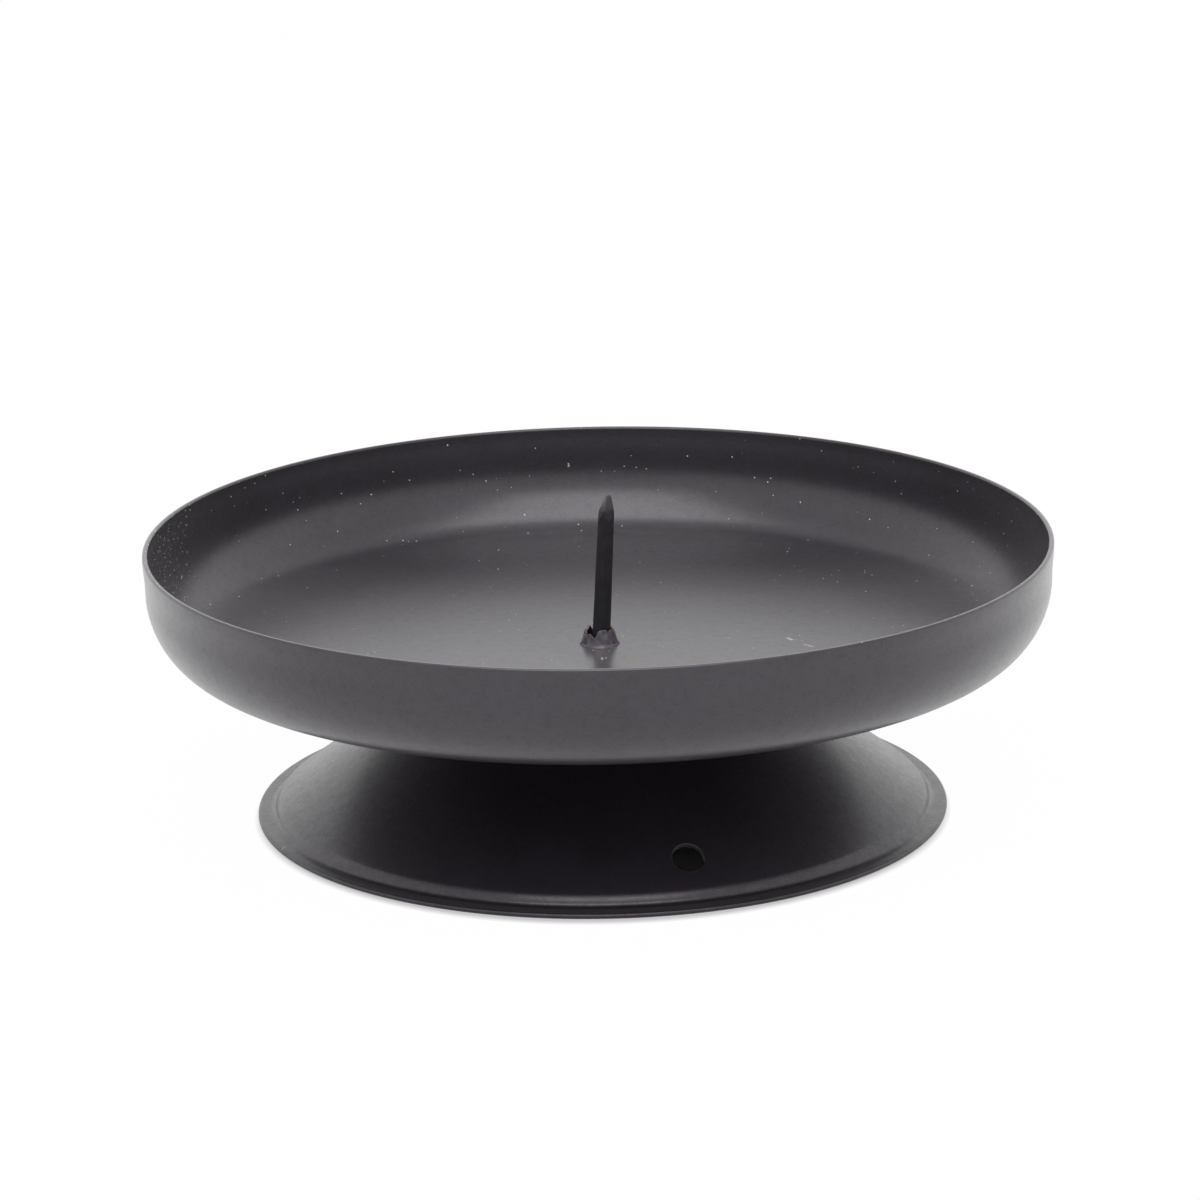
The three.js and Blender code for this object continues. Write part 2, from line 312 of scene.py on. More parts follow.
def effect(name, inputs, outputs):
    """An empty node group with its named sockets, or None if it has been made before."""
    if name in bpy.data.node_groups:
        return None
    tree = bpy.data.node_groups.new(name, "ShaderNodeTree")
    for label, kind, default in inputs:
        socket = tree.interface.new_socket(name=label, in_out="INPUT", socket_type=kind)
        if default is not None:
            socket.default_value = default
    for label in outputs:
        tree.interface.new_socket(name=label, in_out="OUTPUT", socket_type="NodeSocketFloat")
    return tree


def place_effect(tree, name, values):
    """The node group of that name, placed in a material with its own values. Gives its output."""
    made = add_node(tree, "ShaderNodeGroup", values, node_tree=bpy.data.node_groups[name])
    return made.outputs[0]


def build_grain():
    """Paint grain: a fine grain over a softer orange peel, as a height."""
    tree = effect("paint grain", [
        ("Position", "NodeSocketVector", None),
        ("Grain", "NodeSocketFloat", 0.3 * MM),
        ("Peel", "NodeSocketFloat", 1.2 * MM),
        ("Peel share", "NodeSocketFloat", 0.4),
    ], ["Height"])
    if tree is None:
        return
    given = tree.nodes.new("NodeGroupInput").outputs
    fine = add_node(tree, "ShaderNodeTexNoise", {
        "Vector": scaled(tree, given["Position"], given["Grain"]), "Scale": 1.0, "Detail": 2.0})
    peel = add_node(tree, "ShaderNodeTexNoise", {
        "Vector": scaled(tree, given["Position"], given["Peel"]), "Scale": 1.0, "Detail": 1.0})
    soft = maths(tree, "MULTIPLY", peel.outputs[0], given["Peel share"])
    add_node(tree, "NodeGroupOutput", {"Height": maths(tree, "ADD", fine.outputs[0], soft)})


def build_cloud():
    """Slow changes over the surface, between a low and a high value."""
    tree = effect("slow cloud", [
        ("Position", "NodeSocketVector", None),
        ("Size", "NodeSocketFloat", 15 * MM),
        ("Low", "NodeSocketFloat", 0.3),
        ("High", "NodeSocketFloat", 0.4),
    ], ["Value"])
    if tree is None:
        return
    given = tree.nodes.new("NodeGroupInput").outputs
    cloud = add_node(tree, "ShaderNodeTexNoise", {
        "Vector": scaled(tree, given["Position"], given["Size"]), "Scale": 1.0, "Detail": 3.0})
    value = ranged(tree, cloud.outputs[0], 0.3, 0.7, given["Low"], given["High"])
    add_node(tree, "NodeGroupOutput", {"Value": value})


def build_dust():
    """Specks of dust, few and each of its own size, as a mask."""
    tree = effect("dust specks", [
        ("Position", "NodeSocketVector", None),
        ("Spacing", "NodeSocketFloat", 1.5 * MM),
        ("Size", "NodeSocketFloat", 0.12 * MM),
        ("Share", "NodeSocketFloat", 0.1),
    ], ["Mask"])
    if tree is None:
        return
    given = tree.nodes.new("NodeGroupInput").outputs
    cells = add_node(tree, "ShaderNodeTexVoronoi", {
        "Vector": scaled(tree, given["Position"], given["Spacing"]), "Scale": 1.0})
    chance = add_node(tree, "ShaderNodeSeparateColor", {0: cells.outputs["Color"]})
    size = maths(tree, "DIVIDE", given["Size"], given["Spacing"])
    own = maths(tree, "MULTIPLY", size, maths(tree, "ADD", chance.outputs[0], 0.35))
    inside = maths(tree, "SUBTRACT", own, cells.outputs["Distance"])
    edge = maths(tree, "DIVIDE", inside, maths(tree, "MULTIPLY", own, 0.3), clamped=True)
    kept = maths(tree, "LESS_THAN", chance.outputs[1], given["Share"])
    add_node(tree, "NodeGroupOutput", {"Mask": maths(tree, "MULTIPLY", edge, kept)})


def build_scuff():
    """One short scuff from a start to an end, broken up along its length, as a mask."""
    tree = effect("short scuff", [
        ("Position", "NodeSocketVector", None),
        ("Start", "NodeSocketVector", (0, 0, 0)),
        ("End", "NodeSocketVector", (0, 0, 0)),
        ("Width", "NodeSocketFloat", 0.2 * MM),
    ], ["Mask"])
    if tree is None:
        return
    given = tree.nodes.new("NodeGroupInput").outputs
    run = vectors(tree, "SUBTRACT", given["End"], given["Start"])
    out = vectors(tree, "SUBTRACT", given["Position"], given["Start"])
    square = vectors(tree, "DOT_PRODUCT", run, run, "Value")
    along = maths(
        tree, "DIVIDE", vectors(tree, "DOT_PRODUCT", out, run, "Value"), square, clamped=True)
    beside = vectors(tree, "SUBTRACT", out, times(tree, run, along))
    away = vectors(tree, "LENGTH", beside, output="Value")
    crumbs = add_node(tree, "ShaderNodeTexNoise", {
        "Vector": scaled(tree, given["Position"], 0.12 * MM), "Scale": 1.0, "Detail": 1.0})
    broken = ranged(tree, crumbs.outputs[0], 0.3, 0.7, 0.35, 1.0)
    reach = maths(tree, "MULTIPLY", given["Width"], broken)
    inside = maths(tree, "SUBTRACT", reach, away)
    edge = maths(tree, "DIVIDE", inside, maths(tree, "MULTIPLY", reach, 0.6), clamped=True)
    add_node(tree, "NodeGroupOutput", {"Mask": edge})


def start_material(name):
    """A new material with its tree, its Principled BSDF and the place on the piece."""
    build_grain()
    build_cloud()
    build_dust()
    build_scuff()
    material = bpy.data.materials.new(name)
    material.use_nodes = True
    tree = material.node_tree
    surface = tree.nodes["Principled BSDF"]
    position = add_node(tree, "ShaderNodeTexCoord").outputs["Object"]
    return material, tree, surface, position


def bump(tree, surface, height, depth):
    """Feeds a height into the surface's normal."""
    made = add_node(tree, "ShaderNodeBump", {"Strength": 1.0, "Distance": depth, "Height": height})
    tree.links.new(made.outputs["Normal"], surface.inputs["Normal"])


def strongest(tree, masks):
    """The strongest of several masks at each place."""
    total = masks[0]
    for mask in masks[1:]:
        total = maths(tree, "MAXIMUM", total, mask)
    return total


def scuff_masks(tree, position, scuffs, strength):
    """A mask for each scuff, given by its start, end and width in millimetres."""
    masks = []
    for start, end, width in scuffs:
        streak = place_effect(tree, "short scuff", {
            "Position": position, "Start": Vector(start) * MM, "End": Vector(end) * MM,
            "Width": width * MM})
        masks.append(maths(tree, "MULTIPLY", streak, strength))
    return masks


def dust_masks(tree, position, facing, level):
    """Masks for coarse and fine specks of dust on the faces that look over the dish."""
    across = add_node(tree, "ShaderNodeSeparateXYZ", {0: position}).outputs["X"]
    over_dish = vectors(tree, "SUBTRACT", OVER_DISH, position)
    inward = vectors(tree, "DOT_PRODUCT", facing, over_dish, "Value")
    dusty = maths(
        tree, "MULTIPLY", ranged(tree, inward, 0.0, 2 * MM, 0.0, 1.0),
        ranged(tree, across, *DUSTY_END, *DUST_SHARES))
    settled = ranged(tree, level, 0.5, 0.95, 0.35, 0.6)
    coarse = place_effect(tree, "dust specks", {
        "Position": position, "Spacing": 1.2 * MM, "Size": 0.1 * MM,
        "Share": maths(tree, "MULTIPLY", dusty, settled)})
    fine = place_effect(tree, "dust specks", {
        "Position": position, "Spacing": 0.45 * MM, "Size": 0.1 * MM, "Share": dusty})
    return [coarse, maths(tree, "MULTIPLY", fine, 0.9)]


def satin_paint(name, finish, paint, coat, scuffs, dusty=False):
    """Satin black paint with a fine grain, an uneven sheen, a pale film of dust and painted sheen
    on the level faces, and its scuffs.
    """
    material, tree, surface, position = start_material(name)
    facing = add_node(tree, "ShaderNodeTexCoord").outputs["Normal"]
    level = add_node(tree, "ShaderNodeSeparateXYZ", {0: facing}).outputs["Z"]
    masks = scuff_masks(tree, position, scuffs, 0.85)
    if dusty:
        masks += dust_masks(tree, position, facing, level)
    marks = strongest(tree, masks)
    back = add_node(tree, "ShaderNodeSeparateXYZ", {0: position}).outputs["Y"]
    # Pale film on the level faces, thinner towards the back of the floor: partly dust, partly
    # painted sheen that lightens the floor like a glancing reflection
    dust_and_sheen_film = maths(
        tree, "MULTIPLY", ranged(tree, level, 0.9, 0.99, 0.0, finish.dust_and_sheen_film),
        ranged(tree, back, *DUST_AND_SHEEN_FADES, 1.0, 0.05))
    shade = place_effect(tree, "slow cloud", {
        "Position": position, "Size": 9 * MM, "Low": 0.85, "High": 1.2})
    dust_scuffs_and_sheen = maths(tree, "MAXIMUM", marks, dust_and_sheen_film)
    tree.links.new(
        mixed(tree, dust_scuffs_and_sheen, times(tree, paint, shade), finish.dust), surface.inputs["Base Color"])
    sheen = place_effect(tree, "slow cloud", {
        "Position": position, "Size": 14 * MM, "Low": finish.gloss - SHEEN_SPREAD,
        "High": finish.gloss + SHEEN_SPREAD})
    rough = maths(tree, "ADD", sheen, maths(tree, "MULTIPLY", marks, 0.4))
    tree.links.new(rough, surface.inputs["Roughness"])
    grain = place_effect(tree, "paint grain", {
        "Position": position, "Grain": 0.26 * MM, "Peel": 1.2 * MM, "Peel share": 0.5})
    bump(tree, surface, maths(tree, "ADD", grain, marks), 0.02 * MM)
    uneven = ranged(tree, grain, 0.4, 1.1, coat - COAT_SPREAD, coat + COAT_SPREAD)
    tree.links.new(maths(tree, "MINIMUM", uneven, 1.0), surface.inputs["Coat Weight"])
    surface.inputs["Specular Tint"].default_value = MIRROR_TINT
    surface.inputs["Coat Roughness"].default_value = COAT_ROUGHNESS
    return material


def torn_paint(finish):
    """The dish's paint on the claws, paler in patches as cracked paint and as painted reflection,
    with bare steel along their torn edge.
    """
    material, tree, surface, position = start_material("torn satin paint")
    height = add_node(tree, "ShaderNodeAttribute", attribute_name="torn_edge").outputs["Fac"]
    ragged = place_effect(tree, "slow cloud", {
        "Position": position, "Size": 0.3 * MM, "Low": -0.05, "High": 0.05})
    torn = ranged(tree, maths(tree, "ADD", height, ragged), 0.9, 1.0, 0.0, 1.0)
    patches = place_effect(tree, "slow cloud", {
        "Position": position, "Size": 0.9 * MM, "Low": 0.1, "High": 1.0})
    bare = strongest(tree, [
        maths(tree, "MULTIPLY", torn, patches), *scuff_masks(tree, position, BARE_PATCHES, 0.6)])
    # The dish's paint made one to five and a half times paler in patches: partly greyish cracked
    # paint, partly painted reflection of the bright surroundings
    shade = place_effect(tree, "slow cloud", {
        "Position": position, "Size": 0.8 * MM, "Low": 1.0, "High": 5.5})
    tree.links.new(
        mixed(tree, bare, times(tree, finish.paint, shade), finish.torn_steel),
        surface.inputs["Base Color"])
    tree.links.new(ranged(tree, bare, 0.0, 1.0, 0.36, 0.5), surface.inputs["Roughness"])
    tree.links.new(maths(tree, "MULTIPLY", bare, 0.5), surface.inputs["Metallic"])
    grain = place_effect(tree, "paint grain", {
        "Position": position, "Grain": 0.16 * MM, "Peel": 0.6 * MM, "Peel share": 1.0})
    bump(tree, surface, grain, 0.03 * MM)
    tree.links.new(
        ranged(tree, height, 0.02, 0.25, 0.35, finish.coat), surface.inputs["Coat Weight"])
    surface.inputs["Coat Roughness"].default_value = COAT_ROUGHNESS
    return material


def dull_steel(finish):
    """Dull black skin of drawn wire, with paler cut facets at the point."""
    material, tree, surface, position = start_material("dull black steel")
    up_point = add_node(tree, "ShaderNodeAttribute", attribute_name="cut_point").outputs["Fac"]
    ragged = place_effect(tree, "slow cloud", {
        "Position": position, "Size": 0.5 * MM, "Low": -0.14, "High": 0.14})
    cut = ranged(tree, maths(tree, "ADD", up_point, ragged), 0.34, 0.5, 0.0, 1.0)
    shade = place_effect(tree, "slow cloud", {
        "Position": position, "Size": 1.3 * MM, "Low": 0.4, "High": 1.7})
    drawn = place_effect(tree, "slow cloud", {
        "Position": vectors(tree, "MULTIPLY", position, (1, 1, 0.12)), "Size": 0.35 * MM,
        "Low": 0.6, "High": 1.4})
    skin = times(tree, finish.steel, maths(tree, "MULTIPLY", shade, drawn))
    tree.links.new(mixed(tree, cut, skin, finish.cut_steel), surface.inputs["Base Color"])
    tree.links.new(
        ranged(tree, cut, 0.0, 1.0, finish.dull, finish.dull - 0.2), surface.inputs["Roughness"])
    grain = place_effect(tree, "paint grain", {
        "Position": position, "Grain": 0.18 * MM, "Peel": 0.7 * MM, "Peel share": 1.0})
    bump(tree, surface, grain, 0.012 * MM)
    return material


# Meshes

def bent_line(bm, corners, steps):
    """Joins the corners, each (radius, height, reach), and rounds each one by its reach."""
    verts = [bm.verts.new((radius, 0, height)) for radius, height, _ in corners]
    for start, end in zip(verts, verts[1:]):
        bm.edges.new((start, end))
    for vert, (_, _, reach) in zip(verts, corners):
        if reach > 0:
            bmesh.ops.bevel(
                bm, geom=[vert], offset=reach, offset_type="OFFSET", segments=steps,
                profile=0.5, affect="VERTICES", material=-1)


def turn_round(bm, segments, longest):
    """Cuts the line's long edges, spins it once round the plate's axis and closes the seam."""
    for edge in bm.edges[:]:
        cuts = math.ceil(edge.calc_length() / longest) - 1
        if cuts > 0:
            bmesh.ops.subdivide_edges(bm, edges=[edge], cuts=cuts)
    bmesh.ops.spin(
        bm, geom=bm.verts[:] + bm.edges[:], cent=(0, 0, 0), axis=(0, 0, 1),
        angle=2 * math.pi, steps=segments, use_merge=True, use_duplicate=False)
    bmesh.ops.remove_doubles(bm, verts=bm.verts[:], dist=WELD)


def face_outwards(bm, outside):
    """Turns the faces so that the one nearest to a point outside looks that way."""
    bmesh.ops.recalc_face_normals(bm, faces=bm.faces[:])
    nearest = min(bm.faces, key=lambda face: (face.calc_center_median() - outside).length)
    if nearest.normal.dot(outside - nearest.calc_center_median()) < 0:
        bmesh.ops.reverse_faces(bm, faces=bm.faces[:])


def round_edges(bm, chosen, reach, steps):
    """Rounds the sharp edges whose middle is chosen."""
    edges = [
        edge for edge in bm.edges
        if edge.is_manifold and edge.calc_face_angle() > SHARP_EDGE
        and chosen((edge.verts[0].co + edge.verts[1].co) / 2)
    ]
    if not edges:
        raise RuntimeError("there is no sharp edge to round there")
    bmesh.ops.bevel(
        bm, geom=edges, offset=reach, offset_type="OFFSET", segments=steps, profile=0.5,
        affect="EDGES", clamp_overlap=True, material=-1)


def put_in_scene(name, bm, material, node):
    """Makes the closed mesh a smooth piece that stands for its CAD node."""
    if any(not edge.is_manifold for edge in bm.edges):
        raise RuntimeError(f"{name} isn't closed")
    for face in bm.faces:
        face.smooth = True
    mesh = bpy.data.meshes.new(name)
    bm.to_mesh(mesh)
    bm.free()
    mesh.materials.append(material)
    piece = bpy.data.objects.new(name, mesh)
    bpy.context.scene.collection.objects.link(piece)
    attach(piece, "root")
    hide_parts(node)
    return piece


def reach_of(fillet, before, corner, after):
    """How far from a corner its fillet begins."""
    turn = (Vector(corner) - Vector(before)).angle(Vector(after) - Vector(corner))
    return fillet * math.tan(turn / 2)


class CANDLEPLATE_OT_press_dish(Operator):
    """Press the round dish"""
    bl_idname = "candle_plate.press_dish"
    bl_label = "Press dish"

    def execute(self, context):
        sizes = context.scene.candle_dish
        finish = context.scene.candle_finishes
        wall = sizes.radius - sizes.lip_flare
        slope = sizes.floor_rise / (wall - sizes.corner_run - sizes.seat)
        corner = slope * (wall - sizes.seat)
        squeeze = sizes.corner_run / sizes.corner_rise
        lip = sizes.depth - sizes.lip_height
        bm = bmesh.new()
        bent_line(bm, [
            (sizes.hole, 0, 0),
            (sizes.seat, 0, sizes.floor_blend),
            (wall, corner * squeeze, sizes.corner_run),
            (wall, lip * squeeze, 0),
        ], 16)
        bmesh.ops.scale(bm, vec=(1, 1, 1 / squeeze), verts=bm.verts[:])
        bent_line(bm, [
            (wall, lip, 0),
            (wall, lip + sizes.lip_bend, sizes.lip_bend),
            (sizes.radius, sizes.depth - sizes.lip_bend, 0.6 * sizes.lip_bend),
            (sizes.radius, sizes.depth, 0),
        ], 5)
        bmesh.ops.remove_doubles(bm, verts=bm.verts[:], dist=WELD)
        turn_round(bm, sizes.segments, 1.2 * MM)
        face_outwards(bm, Vector((0, 0, -1)))
        bmesh.ops.solidify(bm, geom=bm.faces[:], thickness=sizes.sheet)
        round_edges(bm, lambda at: at.z > lip, 0.4 * sizes.sheet, 5)
        round_edges(bm, lambda at: at.xy.length < 2 * sizes.hole, 0.12 * sizes.sheet, 2)
        bmesh.ops.translate(bm, vec=(0, 0, sizes.base), verts=bm.verts[:])
        paint = satin_paint(
            "satin black paint, dish", finish, finish.paint, finish.coat, SCUFFS, dusty=True)
        put_in_scene("dish_shell", bm, paint, "candle_dish")
        return {"FINISHED"}


class CANDLEPLATE_OT_press_foot(Operator):
    """Press the hollow cone foot and punch its small hole"""
    bl_idname = "candle_plate.press_foot"
    bl_label = "Press foot"

    # Cells across the square that is opened for the small hole, and the rings that fill it again,
    # each as a share of the hole's radius
    patch = 8
    rings = (1.42, 1.25, 1.12, 1.06, 1)

    def execute(self, context):
        sizes = context.scene.candle_foot
        finish = context.scene.candle_finishes
        edge = (sizes.radius, sizes.sheet)
        neck = (sizes.neck, sizes.height)
        heel = (sizes.radius - sizes.flange, sizes.sheet)
        shoulder = (heel[0] - sizes.step_run, sizes.step)
        bm = bmesh.new()
        bent_line(bm, [
            (sizes.hole, sizes.height, 0),
            (*neck, reach_of(sizes.neck_fillet, (0, sizes.height), neck, shoulder)),
            (*shoulder, reach_of(sizes.shoulder_fillet, neck, shoulder, heel)),
            (*heel, reach_of(sizes.flange_fillet, shoulder, heel, edge)),
            (*edge, 0),
        ], 8)
        turn_round(bm, sizes.segments, 2 * MM)
        face_outwards(bm, Vector((0, 0, 1)))
        vent = self.punch_vent(bm, sizes, neck, shoulder)
        face_outwards(bm, Vector((0, 0, 1)))
        bmesh.ops.solidify(bm, geom=bm.faces[:], thickness=sizes.sheet)
        near_vent = 0.9 * sizes.vent
        round_edges(bm, lambda at: at.xy.length > sizes.radius - 0.1 * MM, 0.45 * sizes.sheet, 4)
        round_edges(bm, lambda at: (at - vent).length < near_vent, 0.16 * sizes.sheet, 3)
        round_edges(bm, lambda at: at.xy.length < 2 * sizes.hole, 0.12 * sizes.sheet, 2)
        # The foot gets the darker paint and weaker coat, as painted shade of the dish over it
        paint = satin_paint(
            "satin black paint, foot, painted shade", finish, finish.foot_paint_painted_shade, finish.foot_coat_painted_shade, FOOT_SCUFFS)
        put_in_scene("foot_shell", bm, paint, "cone_foot")
        return {"FINISHED"}

    def punch_vent(self, bm, sizes, neck, shoulder):
        """Opens the small hole in the cone, and returns its middle."""
        slope = math.atan2(neck[1] - shoulder[1], shoulder[0] - neck[0])
        apex = neck[1] + neck[0] * math.tan(slope)
        start = (shoulder[0] - sizes.vent_setback) / math.cos(slope)

        def on_cone(across, down):
            """The place on the cone that far from the hole's middle, laid on like a sheet."""
            line = math.hypot(start + down, across)
            bearing = sizes.vent_bearing + math.atan2(across, start + down) / math.cos(slope)
            radius = line * math.cos(slope)
            return Vector((
                radius * math.cos(bearing), radius * math.sin(bearing),
                apex - line * math.sin(slope)))

        pitch = 2 * math.pi / sizes.segments
        cell = pitch * start * math.cos(slope)
        rows = [on_cone(0, cell * (i - self.patch / 2)).z for i in range(self.patch + 1)]
        for height in rows:
            bmesh.ops.bisect_plane(
                bm, geom=bm.verts[:] + bm.edges[:] + bm.faces[:], dist=WELD,
                plane_co=(0, 0, height), plane_no=(0, 0, 1))
        column = round(sizes.vent_bearing / pitch) * pitch
        middle = Vector((math.cos(column), math.sin(column)))
        patch = [
            face for face in bm.faces
            if rows[-1] < face.calc_center_median().z < rows[0]
            and face.calc_center_median().xy.angle(middle) < pitch * self.patch / 2
        ]
        bmesh.ops.delete(bm, geom=patch, context="FACES")
        centre = on_cone(0, 0)
        edge = [
            e for e in bm.edges
            if e.is_boundary and (e.verts[0].co - centre).length < self.patch * cell
        ]
        radius = sizes.vent / 2
        for ring in self.rings:
            circle = bmesh.ops.create_circle(bm, radius=radius * ring, segments=4 * self.patch)
            for vert in circle["verts"]:
                vert.co = on_cone(vert.co.x, vert.co.y)
            inner = list({e for vert in circle["verts"] for e in vert.link_edges})
            bmesh.ops.bridge_loops(bm, edges=edge + inner)
            edge = inner
        return centre


class CANDLEPLATE_OT_tear_claws(Operator):
    """Raise the torn claws round the spike"""
    bl_idname = "candle_plate.tear_claws"
    bl_label = "Tear claws"

    # Rows of faces up a claw, how its side curves, how ragged its torn edge is, and the share of
    # its height over which its foot flares
    rows = 14
    curve = 1.1
    tear = 0.035
    flare_reach = 1 / 6

    def execute(self, context):
        sizes = context.scene.candle_claws
        finish = context.scene.candle_finishes
        bm = bmesh.new()
        bmesh.ops.create_cone(
            bm, cap_ends=False, segments=sizes.segments, radius1=1, radius2=1, depth=1)
        upright = [e for e in bm.edges if e.verts[0].co.z * e.verts[1].co.z < 0]
        bmesh.ops.subdivide_edges(bm, edges=upright, cuts=self.rows)
        for vert in bm.verts:
            vert.co = self.torn_place(sizes, vert.co.z + 0.5, math.atan2(vert.co.y, vert.co.x))
        face_outwards(bm, Vector((1, 0, 0)))
        bmesh.ops.solidify(bm, geom=bm.faces[:], thickness=sizes.sheet)
        round_edges(bm, lambda at: at.z > sizes.sheet, 0.3 * sizes.sheet, 2)
        round_edges(bm, lambda at: at.z < sizes.sheet, 0.06 * sizes.sheet, 1)
        height = bm.verts.layers.float.new("torn_edge")
        for vert in bm.verts:
            left = sizes.height * self.torn_share(math.atan2(vert.co.y, vert.co.x))
            vert[height] = vert.co.z / left
        bmesh.ops.translate(bm, vec=(0, 0, sizes.floor), verts=bm.verts[:])
        put_in_scene("torn_claws", bm, torn_paint(finish), "claw_collar")
        return {"FINISHED"}

    def torn_share(self, bearing):
        """Share of the full height that is left at a bearing."""
        degrees = math.degrees(bearing) % 360
        after = next(i for i, (at, _) in enumerate(TORN_EDGE) if at >= degrees)
        if after == 0:
            return TORN_EDGE[0][1]
        (low, start), (high, end) = TORN_EDGE[after - 1], TORN_EDGE[after]
        round_it = Vector((9 * math.cos(bearing), 9 * math.sin(bearing), 0.3))
        ragged = self.tear * noise.noise(round_it)
        return min(1, start + (end - start) * (degrees - low) / (high - low) + ragged)

    def torn_place(self, sizes, rise, bearing):
        """Place of a point at a share of the way up the claw at a bearing."""
        left = rise * self.torn_share(bearing)
        radius = sizes.top + sizes.spread * (1 - left) ** self.curve
        radius += sizes.flare * max(0, 1 - left / self.flare_reach) ** 2
        way = Vector((math.cos(bearing), math.sin(bearing), 0))
        stray = noise.noise(4 * way + Vector((0, 0, 2 * left + 5)))
        radius += sizes.ragged * stray * min(1, 3 * left)
        return radius * way + Vector((0, 0, left * sizes.height))


class CANDLEPLATE_OT_drive_spike(Operator):
    """Drive the nail that is the candle's spike"""
    bl_idname = "candle_plate.drive_spike"
    bl_label = "Drive spike"

    # Rings of faces up the shank, and flat facets of its point
    rings = 40
    facets = 4

    def execute(self, context):
        sizes = context.scene.candle_spike
        finish = context.scene.candle_finishes
        full = (sizes.tip - sizes.head_top) / math.cos(sizes.lean)
        shank = full - sizes.point
        bm = bmesh.new()
        bmesh.ops.create_cone(
            bm, cap_ends=True, segments=sizes.segments, radius1=sizes.diameter / 2,
            radius2=sizes.point_diameter / 2, depth=shank,
            matrix=Matrix.Translation((0, 0, shank / 2)))
        self.add_head(bm, sizes)
        top = max(bm.faces, key=lambda face: face.calc_center_median().z)
        raised = bmesh.ops.extrude_face_region(bm, geom=[top])["geom"]
        bmesh.ops.translate(
            bm, vec=(0, 0, sizes.point),
            verts=[item for item in raised if isinstance(item, bmesh.types.BMVert)])
        bmesh.ops.delete(bm, geom=[top], context="FACES_ONLY")
        upright = [
            e for e in bm.edges
            if min(v.co.z for v in e.verts) < WELD and max(v.co.z for v in e.verts) > shank / 2]
        bmesh.ops.subdivide_edges(bm, edges=upright, cuts=self.rings)
        self.waver(bm, sizes, shank)
        self.cut_point(bm, sizes, shank)
        bmesh.ops.recalc_face_normals(bm, faces=bm.faces[:])
        tip = max(vert.co.z for vert in bm.verts)
        self.soften(bm, tip - 0.2 * MM, tip, 0.15 * MM)
        self.soften(bm, shank - WELD, tip - 0.35 * MM, 0.05 * MM)
        cut = bm.verts.layers.float.new("cut_point")
        for vert in bm.verts:
            vert[cut] = max(0, (vert.co.z - shank) / sizes.point)
        bmesh.ops.rotate(
            bm, cent=(0, 0, 0), matrix=Matrix.Rotation(sizes.lean, 3, "Y"), verts=bm.verts[:])
        bmesh.ops.translate(bm, vec=(sizes.offset, 0, sizes.head_top), verts=bm.verts[:])
        put_in_scene("nail_spike", bm, dull_steel(finish), "spike_nail")
        return {"FINISHED"}

    def add_head(self, bm, sizes):
        """Spreads the foot of the shank into the nail's flat head."""
        low = min(bm.faces, key=lambda face: face.calc_center_median().z)
        for spread, drop in ((sizes.head / sizes.diameter, 0), (1, sizes.head_thickness)):
            made = bmesh.ops.extrude_face_region(bm, geom=[low])["geom"]
            verts = [item for item in made if isinstance(item, bmesh.types.BMVert)]
            bmesh.ops.scale(bm, vec=(spread, spread, 1), verts=verts)
            bmesh.ops.translate(bm, vec=(0, 0, -drop), verts=verts)
            bmesh.ops.delete(bm, geom=[low], context="FACES_ONLY")
            low = next(item for item in made if isinstance(item, bmesh.types.BMFace))
        bmesh.ops.bevel(
            bm, geom=low.edges[:], offset=sizes.head_chamfer, offset_type="OFFSET", segments=2,
            profile=0.5, affect="EDGES", clamp_overlap=True, material=-1)

    def waver(self, bm, sizes, shank):
        """Makes the drawn wire a little uneven along its length."""
        for vert in bm.verts:
            if 0.1 * MM < vert.co.z < shank:
                slow = noise.noise_vector(Vector((0, 3.7, vert.co.z / (2.5 * MM))))
                quick = noise.noise_vector(vert.co / (0.9 * MM))
                stray = sizes.waver * (slow + 0.6 * quick)
                vert.co += Vector((stray.x, stray.y, 0))

    def soften(self, bm, low, high, reach):
        """Rounds the ridges of the cut point whose lower end is between two heights."""
        ridges = [
            e for e in bm.edges
            if e.calc_face_angle() > POINT_RIDGE
            and low <= min(v.co.z for v in e.verts) <= high]
        bmesh.ops.bevel(
            bm, geom=ridges, offset=reach, offset_type="OFFSET", segments=3, profile=0.5,
            affect="EDGES", clamp_overlap=True, material=-1)

    def cut_point(self, bm, sizes, shank):
        """Cuts the flat facets of the point."""
        half = sizes.point_diameter / 2
        tilt = math.atan2(half - sizes.tip_width / 2, sizes.point)
        skew = Matrix.Rotation(sizes.point_skew, 3, "Y")
        for i in range(self.facets):
            bearing = sizes.point_turn + i * math.tau / self.facets
            side = Vector((math.cos(bearing), math.sin(bearing), 0))
            normal = skew @ (side * math.cos(tilt) + Vector((0, 0, math.sin(tilt))))
            place = skew @ (half * side) + Vector((0, 0, shank))
            found = bmesh.ops.bisect_plane(
                bm, geom=bm.verts[:] + bm.edges[:] + bm.faces[:], dist=WELD, plane_co=place,
                plane_no=normal, clear_outer=True)["geom_cut"]
            open_edges = [
                item for item in found if isinstance(item, bmesh.types.BMEdge) and item.is_boundary]
            bmesh.ops.contextual_create(bm, geom=open_edges)


